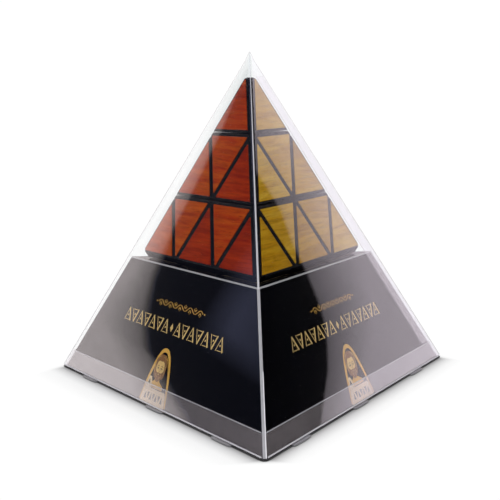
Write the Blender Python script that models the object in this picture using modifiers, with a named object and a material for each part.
"""Pyramid twisty puzzle standing on a card plinth under a clear folded cover.

Frame: +Z up. Sizes below are millimetres; the scene is in metres. The origin is
the middle of the case's underside, and the case's front corner points along -Y.

The puzzle is a regular tetrahedron centred on O. Each corner direction AXES[i]
is one turning axis. Two planes across each axis cut the pieces apart: one frees
the small corner tip, the other frees the layer of one axial and three edges.
Inside a ball of radius SKIRT_R the layer plane steps down to FOOT_CUT, so every
edge piece has a foot that reaches under the skirts of its two axials. All the
surfaces that slide on each other are planes across an axis, or balls round O,
so any layer turns freely. Four screws and springs hold the axials to the core.

Each kind of piece is modelled once, round corner 0, and turned into its places.
"""

import math
from itertools import combinations, permutations

import bmesh
import bpy
from mathutils import Matrix, Vector

MM = 0.001

# Puzzle. Cuts and faces are given by their distance from O.
EDGE = 98.0                             # sharp edge of the tetrahedron of tile faces
FACE_DIST = EDGE / (2 * math.sqrt(6))   # O to a tile face
TIP_CUT = FACE_DIST * 5 / 3 - 0.8       # cut under a corner tip
LAYER_CUT = FACE_DIST / 3               # cut under a layer
ROW = EDGE / (2 * math.sqrt(3))         # a third of a face's height
TIP_ROW = ROW - 0.85                    # face centre to the tip's cut, in the face
GAP = 0.15                              # each side of a cut
SHELL = FACE_DIST - 0.25                # the plastic face; tiles stand 0.25 proud
LONG_FLAT = 53.9 - 21.6                 # O to the flat along each long edge
BLUNT = 53.9                            # O to the blunt end of a tip
LONG_FLAT = 32.3
CUT_BREAK = 0.45 * 0.5                  # depth off the outside corner at a cut
BLUNT_FLAT_BREAK = 0.35                 # depth off the blunt end at a long flat
BLUNT_FACE_BREAK = 0.3                  # depth off the blunt end at a face

# Tiles
POCKET_FLOOR = FACE_DIST - 0.95
TILE_GAP = 0.10                         # glue line under and round a tile
INSET_CUT = 1.40                        # tile edge to the cut line
INSET_RIM = 3.40                        # tile edge to the sharp long edge
TILE_CORNER = 0.5                       # bevel of the upright edges
TILE_RIM = 0.12                         # bevel round the top

# Mechanism
SKIRT_R = 16.0                          # ball between the feet and the skirts
FOOT_GAP, SKIRT_GAP = 0.1, 0.3          # feet and skirts to that ball
STEM_OVERLAP = 0.9                      # stem past that ball, into the axial
CORE_R = 9.0
CORE_GAP, HOLLOW_GAP = 0.1, 0.3         # core below CORE_R, hollow above it
FOOT_CUT = 3.0                          # layer plane inside SKIRT_R
SHANK_R, BORE_R = 1.4, 1.7
HEAD_R, HEAD_LOW, HEAD_TOP = 3.3, 25.2, 27.2
HEAD_BREAK = 0.6
SLOT_SIZE = (3.6, 0.75, 2.0)            # each arm of the cross in a screw head
SLOT_TURN = 0.4                         # radians
SLOT_Z = HEAD_TOP - 0.1                 # middle of the slot block
WELL_R, WELL_FLOOR = 4.5, 16.0
BEAD_R, GROOVE_R = 4.75, 5.1
PLUG_R, PLUG_END = 4.2, 28.3
PIECE_OVERLAP = 1.5                     # stem past the well floor, plug past the tip cut
TIP_HOLLOW_R = 2.6
SPRING_R, WIRE_R = 2.7, 0.35
SPRING_LOW, SPRING_TOP, SPRING_TURNS = 17.15, 24.5, 4.5
SPRING_STEPS = 10                       # points per turn

# Turned outlines along a turning axis: (radius, distance from O), from the top.
AXIAL_BORE = (
    (0, 40), (WELL_R, 40), (WELL_R, 31.2), (GROOVE_R, 30.9), (GROOVE_R, 29.1),
    (WELL_R, 28.8), (WELL_R, WELL_FLOOR), (BORE_R, WELL_FLOOR), (BORE_R, 2), (0, 2),
)
TIP_PLUG = (
    (0, TIP_CUT + PIECE_OVERLAP), (PLUG_R, TIP_CUT + PIECE_OVERLAP),
    (PLUG_R, 30.85), (BEAD_R, 30.45), (BEAD_R, 29.55), (PLUG_R, 29.1),
    (PLUG_R, PLUG_END), (0, PLUG_END),
)
TIP_HOLLOW = (
    (0, 37), (TIP_HOLLOW_R, 37), (TIP_HOLLOW_R, PLUG_END - 2), (0, PLUG_END - 2),
)
CORE_HOLE = ((0, 12), (BORE_R, 12), (BORE_R, 3.6), (0, 3.6))
SCREW = (
    (0, HEAD_TOP), (HEAD_R - HEAD_BREAK, HEAD_TOP), (HEAD_R, HEAD_TOP - HEAD_BREAK),
    (HEAD_R, HEAD_LOW), (SHANK_R, HEAD_LOW), (SHANK_R, 4.6), (0, 3.9),
)

# Case. Its sloping faces meet z = 0 in a triangle of side CASE_EDGE.
CASE_EDGE = 171.0
CASE_TOP = 136.0                        # sharp apex of the sloping faces
CASE_INRADIUS = CASE_EDGE / (2 * math.sqrt(3))
CASE_SLANT = math.hypot(CASE_INRADIUS, CASE_TOP)
SHEET = 0.4
SHEET_LEVEL = SHEET / (CASE_TOP / CASE_SLANT)   # sheet thickness measured level
COVER_LOW = 0.8
COVER_TOP = CASE_TOP - 0.4
UPPER_TOP, INNER_TOP = CASE_TOP - 1.5, CASE_TOP - 3.0   # tops of the cover's hollows
HEM = 7.3                               # height of the double-thickness hem
HEM_GAP = 0.05
BASE_T = 0.5
BASE_INSET = 0.2
BASE_CORNER = 3.0
PLINTH_LOW, PLINTH_TOP = 0.8, 51.2
PLINTH_INSET = 1.5                      # cover's outside to the plinth, level
CARD = 0.7
OPEN_LOW = -5                           # hollows start here, below an open underside
PUZZLE_Z = PLINTH_TOP + 0.3 + FACE_DIST  # height of O

PUZZLE_STOCK, CASE_STOCK = 260.0, 400.0  # cubes that the blocks are cut from

CORNER_NAMES = ("top", "front", "right", "left")
LEVEL_PART = math.sqrt(8.0) / 3         # level part of a lower corner's direction
UP = Vector((0, 0, 1))
AXES = (
    UP,
    Vector((0, -LEVEL_PART, -1 / 3)),
    Vector((LEVEL_PART * math.cos(math.radians(30)), LEVEL_PART * 0.5, -1 / 3)),
    Vector((-LEVEL_PART * math.cos(math.radians(30)), LEVEL_PART * 0.5, -1 / 3)),
)
PAIRS = tuple(combinations(range(4), 2))
# A face is numbered by the corner it lacks.
FACES = {"left": 2, "right": 3, "back": 1, "under": 0}
MODEL_FACE = 3                          # face on which the tiles are modelled
SIDE_FACES = (1, 2, 3)                  # the faces that meet at corner 0


# ---------------------------------------------------------------- scene
def clear_scene():
    for obj in list(bpy.data.objects):
        bpy.data.objects.remove(obj, do_unlink=True)
    for collection in list(bpy.data.collections):
        bpy.data.collections.remove(collection)


def new_collection(name):
    made = bpy.data.collections.new(name)
    bpy.context.scene.collection.children.link(made)
    return made


clear_scene()
PARTS = new_collection("pyramid_twisty_puzzle")
CUTTERS = new_collection("cutters")


# ---------------------------------------------------------------- materials
def material(name, colour, roughness, metallic=0.0, alpha=1.0):
    mat = bpy.data.materials.new(name)
    mat.use_nodes = True
    bsdf = mat.node_tree.nodes["Principled BSDF"]
    bsdf.inputs["Base Color"].default_value = (*colour, 1.0)
    bsdf.inputs["Roughness"].default_value = roughness
    bsdf.inputs["Metallic"].default_value = metallic
    bsdf.inputs["Alpha"].default_value = alpha
    return mat


BLACK = material("black_plastic", colour=(0.012, 0.012, 0.014), roughness=0.35)
STEEL = material("zinc_steel", colour=(0.62, 0.62, 0.60), roughness=0.3, metallic=1.0)
SPRING_STEEL = material(
    "spring_steel", colour=(0.5, 0.5, 0.52), roughness=0.25, metallic=1.0
)
CLEAR = material("clear_sheet", colour=(0.95, 0.96, 0.97), roughness=0.05, alpha=0.2)
PRINT = material("printed_card", colour=(0.008, 0.008, 0.02), roughness=0.3)
BASE = material("black_card", colour=(0.01, 0.01, 0.012), roughness=0.6)
WOODS = {
    "left": material("wood_redwood", colour=(0.42, 0.07, 0.02), roughness=0.45),
    "right": material("wood_golden", colour=(0.45, 0.25, 0.05), roughness=0.45),
    "back": material("wood_walnut", colour=(0.14, 0.06, 0.03), roughness=0.45),
    "under": material("wood_maple", colour=(0.62, 0.42, 0.22), roughness=0.45),
}


# ---------------------------------------------------------------- objects and meshes
def part(name, mesh, mat, matrix=None, smooth=None):
    """A named object with one material; smooth is the sharp-edge angle in degrees."""
    obj = bpy.data.objects.new(name, mesh)
    PARTS.objects.link(obj)
    if not mesh.materials:
        mesh.materials.append(mat)
    if matrix is not None:
        obj.matrix_world = matrix
    if smooth:
        mesh.shade_smooth()
        mesh.set_sharp_from_angle(angle=math.radians(smooth))
    return obj


def helper(name, mesh):
    obj = bpy.data.objects.new(name, mesh)
    CUTTERS.objects.link(obj)
    obj.hide_render = True
    obj.display_type = "WIRE"
    return obj


def baked(obj):
    """The object's evaluated mesh, as a mesh that copies can share."""
    bpy.context.view_layer.update()
    graph = bpy.context.evaluated_depsgraph_get()
    mesh = bpy.data.meshes.new_from_object(obj.evaluated_get(graph))
    mesh.materials.clear()
    return mesh


def to_mesh(bm, name):
    bmesh.ops.recalc_face_normals(bm, faces=bm.faces)
    mesh = bpy.data.meshes.new(name)
    bm.to_mesh(mesh)
    bm.free()
    return mesh


def cut(bm, normal, distance):
    """Keeps the side where point . normal <= distance (mm) and closes the cut."""
    normal = Vector(normal).normalized()
    made = bmesh.ops.bisect_plane(
        bm,
        geom=bm.verts[:] + bm.edges[:] + bm.faces[:],
        dist=1e-8,
        plane_co=normal * distance * MM,
        plane_no=normal,
        clear_outer=True,
    )
    edges = [e for e in made["geom_cut"] if isinstance(e, bmesh.types.BMEdge)]
    if len(edges) > 2:
        bmesh.ops.contextual_create(bm, geom=edges)


def block(planes, size=PUZZLE_STOCK):
    """A convex block: a cube trimmed by planes given as (normal, distance)."""
    bm = bmesh.new()
    bmesh.ops.create_cube(bm, size=size * MM)
    for normal, distance in planes:
        cut(bm, normal, distance)
    bmesh.ops.remove_doubles(bm, verts=bm.verts, dist=1e-7)
    bmesh.ops.dissolve_limit(
        bm, angle_limit=math.radians(0.05), verts=bm.verts, edges=bm.edges
    )
    return bm


def helper_block(name, planes, size=PUZZLE_STOCK):
    return helper(name, to_mesh(block(planes, size), name))


def ball(radius, name, segments=30):
    bm = bmesh.new()
    bmesh.ops.create_uvsphere(
        bm, u_segments=segments, v_segments=segments // 2, radius=radius * MM
    )
    # Turned so that its poles lie on no turning axis.
    tilt = Matrix.Rotation(0.61, 3, Vector((0.4, 1.0, 0.27)).normalized())
    bmesh.ops.rotate(bm, verts=bm.verts, matrix=tilt)
    return helper(name, to_mesh(bm, name))


def turned(profile, name, steps):
    """A closed solid of revolution round Z from (radius, z) points in mm, both
    ends on the axis, listed from the top down."""
    mesh = bpy.data.meshes.new(name + "_profile")
    bm = bmesh.new()
    points = [bm.verts.new((radius * MM, 0, z * MM)) for radius, z in profile]
    for upper, lower in zip(points, points[1:]):
        bm.edges.new((upper, lower))
    bm.to_mesh(mesh)
    bm.free()
    obj = helper(name, mesh)
    screw = obj.modifiers.new("Screw", "SCREW")
    screw.axis = "Z"
    screw.angle = math.radians(360)
    screw.steps = screw.render_steps = steps
    screw.use_merge_vertices = True
    screw.merge_threshold = 1e-6
    return obj


def boolean(obj, other, operation="DIFFERENCE"):
    modifier = obj.modifiers.new(other.name, "BOOLEAN")
    modifier.object = other
    modifier.operation = operation
    modifier.solver = "EXACT"


# ---------------------------------------------------------------- planes of the pieces
def outside():
    """Planes of the plastic outside that every piece shares."""
    faces = [(-axis, SHELL) for axis in AXES]
    return faces + [(AXES[a] + AXES[b], LONG_FLAT) for a, b in PAIRS]


def softened(normal_1, distance_1, normal_2, distance_2, depth):
    """The plane that takes a depth off the corner between two outward planes."""
    normal_1, normal_2 = Vector(normal_1).normalized(), Vector(normal_2).normalized()
    bisector = (normal_1 + normal_2).normalized()
    # A point on the line where the two planes meet.
    cosine = normal_1.dot(normal_2)
    along_1 = (distance_1 - cosine * distance_2) / (1 - cosine * cosine)
    along_2 = (distance_2 - cosine * distance_1) / (1 - cosine * cosine)
    meeting = normal_1 * along_1 + normal_2 * along_2
    return bisector, bisector.dot(meeting) - depth


def broken(face, cut_normal, cut_distance):
    """Chamfer where a plastic face meets a cut. cut_normal points out of the piece."""
    return softened(-AXES[face], SHELL, cut_normal, cut_distance, CUT_BREAK)


def face_dir(corner, face):
    """The direction within a face towards one of its corners."""
    normal = -AXES[face]
    return (AXES[corner] - normal * AXES[corner].dot(normal)).normalized()


def tile_planes(kind, face, grow=0.0):
    """Side planes of a tile: of corner 0's tip or axial, or of edge 0-1."""
    corners = [k for k in range(4) if k != face]
    if kind == "tip":
        planes = [(-face_dir(0, face), -(TIP_ROW + INSET_CUT) + grow)]
    elif kind == "axial":
        planes = [(face_dir(0, face), TIP_ROW - INSET_CUT + grow)]
        planes += [(face_dir(k, face), -INSET_CUT + grow) for k in corners if k != 0]
    else:
        planes = [(-face_dir(k, face), -INSET_CUT + grow) for k in (0, 1)]
    if kind == "axial":
        # Beyond the layer cuts of the other two corners.
        planes = planes[:1] + [
            (face_dir(k, face), -INSET_CUT + grow) for k in corners if k != 0
        ]
    return planes + [(-face_dir(k, face), ROW - INSET_RIM + grow) for k in corners]


def tile_mesh(kind):
    """A tile on MODEL_FACE."""
    normal = -AXES[MODEL_FACE]
    bm = block(
        tile_planes(kind, MODEL_FACE)
        + [(normal, FACE_DIST), (-normal, -(POCKET_FLOOR + TILE_GAP))]
    )
    bm.normal_update()
    uprights = [
        e for e in bm.edges
        if abs((e.verts[0].co - e.verts[1].co).normalized().dot(normal)) > 0.99
    ]
    bmesh.ops.bevel(
        bm, geom=uprights, offset=TILE_CORNER * MM, segments=2, profile=0.5, affect="EDGES"
    )
    bm.normal_update()
    top = next(f for f in bm.faces if f.normal.dot(normal) > 0.99)
    bmesh.ops.bevel(
        bm, geom=list(top.edges), offset=TILE_RIM * MM, segments=1, profile=0.5,
        affect="EDGES",
    )
    return to_mesh(bm, "tile_" + kind)


def cut_pocket(obj, kind, face):
    normal = -AXES[face]
    planes = tile_planes(kind, face, grow=TILE_GAP)
    planes += [(normal, FACE_DIST + 2.0), (-normal, -POCKET_FLOOR)]
    boolean(obj, helper_block("pocket_%s_%d_0" % (kind, face), planes))


# ---------------------------------------------------------------- turning into place
def turn_to(image):
    """The rotation that takes AXES[0], AXES[1].. to AXES[image[0]], AXES[image[1]].."""
    turn = Matrix(((0, 0, 0), (0, 0, 0), (0, 0, 0)))
    for source, target in enumerate(image):
        for row in range(3):
            for column in range(3):
                turn[row][column] += 0.75 * AXES[target][row] * AXES[source][column]
    return turn


def placing(image):
    return Matrix.Translation((0, 0, PUZZLE_Z * MM)) @ turn_to(image).to_4x4()


def image_for(first, second=None, last=None):
    """The first even permutation of the corners (a true rotation) that starts
    with first and matches the others if given, or None."""
    for image in permutations(range(4)):
        swaps = sum(image[a] > image[b] for a, b in PAIRS)
        if (
            image[0] == first
            and swaps % 2 == 0
            and second in (None, image[1])
            and last in (None, image[3])
        ):
            return image
    return None


# ---------------------------------------------------------------- puzzle pieces
BALL_FEET = ball(SKIRT_R - FOOT_GAP, "ball_feet")
BALL_SKIRT = ball(SKIRT_R + SKIRT_GAP, "ball_skirt")
BALL_STEM = ball(SKIRT_R + STEM_OVERLAP, "ball_stem")
BALL_HOLLOW = ball(CORE_R + HOLLOW_GAP, "ball_hollow")


def axial_master():
    """The piece under corner 0's tip, with a stem that reaches in to the core."""
    planes = outside()
    planes += [(-AXES[0], -(LAYER_CUT + GAP)), (AXES[0], TIP_CUT - GAP)]
    planes += [(AXES[k], LAYER_CUT - GAP) for k in (1, 2, 3)]
    for face in SIDE_FACES:
        planes.append(broken(face, AXES[0], TIP_CUT - GAP))
        for k in (1, 2, 3):
            if k != face:
                planes.append(broken(face, AXES[k], LAYER_CUT - GAP))
    obj = helper_block("axial_master", planes)
    boolean(obj, BALL_SKIRT)
    stem = helper_block(
        "axial_stem",
        [(AXES[k], FOOT_CUT - GAP) for k in (1, 2, 3)]
        + [(-AXES[0], -(FOOT_CUT + GAP)), (AXES[0], WELL_FLOOR + PIECE_OVERLAP)],
    )
    boolean(stem, BALL_STEM, "INTERSECT")
    boolean(obj, stem, "UNION")
    boolean(obj, BALL_HOLLOW)
    boolean(obj, turned(AXIAL_BORE, "axial_bore", steps=20))
    for face in SIDE_FACES:
        cut_pocket(obj, "axial", face)
    return baked(obj)


def tip_master(under_tile_fixed):
    """The tip of corner 0. The second kind is for the base corners: the tile of
    its underside is one piece with it, on MODEL_FACE."""
    planes = outside() + [(-AXES[0], -(TIP_CUT + GAP)), (AXES[0], BLUNT)]
    for k in SIDE_FACES:
        planes += [
            broken(k, -AXES[0], -(TIP_CUT + GAP)),
            softened(AXES[0], BLUNT, AXES[0] + AXES[k], LONG_FLAT, BLUNT_FLAT_BREAK),
            softened(AXES[0], BLUNT, -AXES[k], SHELL, BLUNT_FACE_BREAK),
        ]
    name = "tip_base_master" if under_tile_fixed else "tip_master"
    obj = helper_block(name, planes)
    boolean(obj, turned(TIP_PLUG, name + "_plug", steps=24), "UNION")
    boolean(obj, turned(TIP_HOLLOW, name + "_hollow", steps=16))
    for face in SIDE_FACES:
        if not (under_tile_fixed and face == MODEL_FACE):
            cut_pocket(obj, "tip", face)
    if under_tile_fixed:
        axis = AXES[MODEL_FACE]
        pad = helper_block(
            "tip_pad",
            tile_planes("tip", MODEL_FACE) + [(-axis, FACE_DIST), (axis, -POCKET_FLOOR)],
        )
        boolean(obj, pad, "UNION")
    return baked(obj)


def edge_master():
    """The piece between corners 0 and 1, with its foot."""
    planes = outside() + [(-AXES[k], -(LAYER_CUT + GAP)) for k in (0, 1)]
    for face in (2, 3):
        for k in (0, 1):
            planes.append(broken(face, -AXES[k], -(LAYER_CUT + GAP)))
    obj = helper_block("edge_master", planes)
    foot = helper_block(
        "edge_foot",
        [(-AXES[k], -(FOOT_CUT + GAP)) for k in (0, 1)]
        + [(AXES[k], FOOT_CUT - GAP) for k in (2, 3)],
    )
    boolean(foot, BALL_FEET, "INTERSECT")
    boolean(foot, BALL_HOLLOW)
    boolean(obj, foot, "UNION")
    for face in (2, 3):
        cut_pocket(obj, "edge", face)
    return baked(obj)


def core_master():
    """A ball with a screw hole along each turning axis."""
    obj = ball(CORE_R - CORE_GAP, "core_master", segments=24)
    for i in range(4):
        hole = turned(CORE_HOLE, "core_hole_%d" % i, steps=16)
        hole.matrix_world = turn_to(image_for(i)).to_4x4()
        boolean(obj, hole)
    return baked(obj)


def screw_master():
    """A flat-headed screw with a cross slot."""
    obj = turned(SCREW, "screw_master", steps=16)
    for n in range(2):
        bm = bmesh.new()
        bmesh.ops.create_cube(bm, size=1.0)
        bmesh.ops.scale(bm, vec=Vector(SLOT_SIZE) * MM, verts=bm.verts)
        turn = Matrix.Rotation(n * math.pi / 2 + SLOT_TURN, 3, "Z")
        bmesh.ops.rotate(bm, verts=bm.verts, matrix=turn)
        bmesh.ops.translate(bm, verts=bm.verts, vec=Vector((0, 0, SLOT_Z)) * MM)
        boolean(obj, helper("slot_%d" % n, to_mesh(bm, "slot")))
    return baked(obj)


def spring_master():
    """A coil of round wire, swept along a helix."""
    curve = bpy.data.curves.new("spring", "CURVE")
    curve.dimensions = "3D"
    spline = curve.splines.new("POLY")
    count = int(SPRING_TURNS * SPRING_STEPS) + 1
    spline.points.add(count - 1)
    for k in range(count):
        share = k / (count - 1)
        angle = 2 * math.pi * SPRING_TURNS * share
        z = SPRING_LOW + (SPRING_TOP - SPRING_LOW) * share
        spline.points[k].co = (
            SPRING_R * math.cos(angle) * MM, SPRING_R * math.sin(angle) * MM, z * MM, 1
        )
    curve.bevel_depth = WIRE_R * MM
    curve.bevel_resolution = 1
    curve.use_fill_caps = True
    obj = bpy.data.objects.new("spring_curve", curve)
    CUTTERS.objects.link(obj)
    mesh = baked(obj)
    bpy.data.objects.remove(obj, do_unlink=True)
    # Welds the end caps to the wire.
    bm = bmesh.new()
    bm.from_mesh(mesh)
    bmesh.ops.remove_doubles(bm, verts=bm.verts, dist=1e-6)
    bm.to_mesh(mesh)
    bm.free()
    return mesh


def build_tiles(face_name, face):
    """The tiles of one face; the underside's tips carry their own."""
    meshes = {kind: tile_mesh(kind) for kind in ("tip", "axial", "edge")}
    prefix, wood = "tile_" + face_name, WOODS[face_name]
    for i, name in enumerate(CORNER_NAMES):
        if i == face:
            continue
        where = placing(image_for(i, last=face))
        if face_name != "under":
            part("%s_tip_%s" % (prefix, name), meshes["tip"], wood, where)
        part("%s_axial_%s" % (prefix, name), meshes["axial"], wood, where)
    for a, b in PAIRS:
        if face in (a, b):
            continue
        image = image_for(a, second=b, last=face) or image_for(b, second=a, last=face)
        name = "%s_edge_%s_%s" % (prefix, CORNER_NAMES[a], CORNER_NAMES[b])
        part(name, meshes["edge"], wood, placing(image))


def build_puzzle():
    axial, tip, tip_base = axial_master(), tip_master(False), tip_master(True)
    edge, core = edge_master(), core_master()
    screw, spring = screw_master(), spring_master()
    part("core", core, BLACK, placing((0, 1, 2, 3)), smooth=40)
    for i, name in enumerate(CORNER_NAMES):
        where = placing(image_for(i))
        part("screw_" + name, screw, STEEL, where, smooth=40)
        part("spring_" + name, spring, SPRING_STEEL, where, smooth=60)
        part("axial_" + name, axial, BLACK, where, smooth=30)
        if name == "top":
            part("tip_" + name, tip, BLACK, where, smooth=30)
        else:
            # MODEL_FACE, with the fixed tile, goes to the underside.
            where = placing(image_for(i, last=FACES["under"]))
            part("tip_" + name, tip_base, BLACK, where, smooth=30)
    for a, b in PAIRS:
        name = "edge_%s_%s" % (CORNER_NAMES[a], CORNER_NAMES[b])
        part(name, edge, BLACK, placing(image_for(a, second=b)), smooth=30)
    for face_name, face in FACES.items():
        build_tiles(face_name, face)


# ---------------------------------------------------------------- case
def case_sides():
    """Level outward directions of the case's three sides."""
    return [
        Vector((math.cos(math.radians(deg)), math.sin(math.radians(deg)), 0))
        for deg in (90, 210, 330)
    ]


def case_planes(inset, low, top):
    """Three sloping faces, moved in by a level inset, between two heights."""
    planes = []
    for out in case_sides():
        normal = Vector((out.x * CASE_TOP, out.y * CASE_TOP, CASE_INRADIUS)) / CASE_SLANT
        point = out * (CASE_INRADIUS - inset)
        planes.append((normal, normal.dot(point)))
    return planes + [(UP, top), (-UP, -low)]


def case_part(name, planes, mat):
    return part(name, to_mesh(block(planes, CASE_STOCK), name), mat)


def build_cover():
    """One sheet thick above the hem, two sheets thick in it."""
    cover = case_part("clear_cover", case_planes(0, COVER_LOW, COVER_TOP), CLEAR)
    inner = helper_block(
        "cover_inner", case_planes(2 * SHEET_LEVEL + HEM_GAP, OPEN_LOW, INNER_TOP), CASE_STOCK
    )
    upper = helper_block(
        "cover_upper", case_planes(SHEET_LEVEL, COVER_LOW + HEM, UPPER_TOP), CASE_STOCK
    )
    boolean(cover, upper)
    boolean(cover, inner)


def build_plinth():
    """A hollow card frustum, open below."""
    planes = case_planes(PLINTH_INSET, PLINTH_LOW, PLINTH_TOP)
    plinth = case_part("display_plinth", planes, PRINT)
    hollow = case_planes(PLINTH_INSET + CARD, OPEN_LOW, PLINTH_TOP - CARD)
    boolean(plinth, helper_block("plinth_hollow", hollow, CASE_STOCK))


def build_base_card():
    """The case's footprint with rounded corners."""
    planes = [(out, CASE_INRADIUS - BASE_INSET) for out in case_sides()]
    bm = block(planes + [(UP, BASE_T), (-UP, 0)], CASE_STOCK)
    corners = [
        e for e in bm.edges
        if abs(e.verts[0].co.z - e.verts[1].co.z) > 0.5 * BASE_T * MM
    ]
    bmesh.ops.bevel(
        bm, geom=corners, offset=BASE_CORNER * MM, segments=5, profile=0.5, affect="EDGES"
    )
    part("base_card", to_mesh(bm, "base_card"), BASE)


build_puzzle()
build_cover()
build_plinth()
build_base_card()
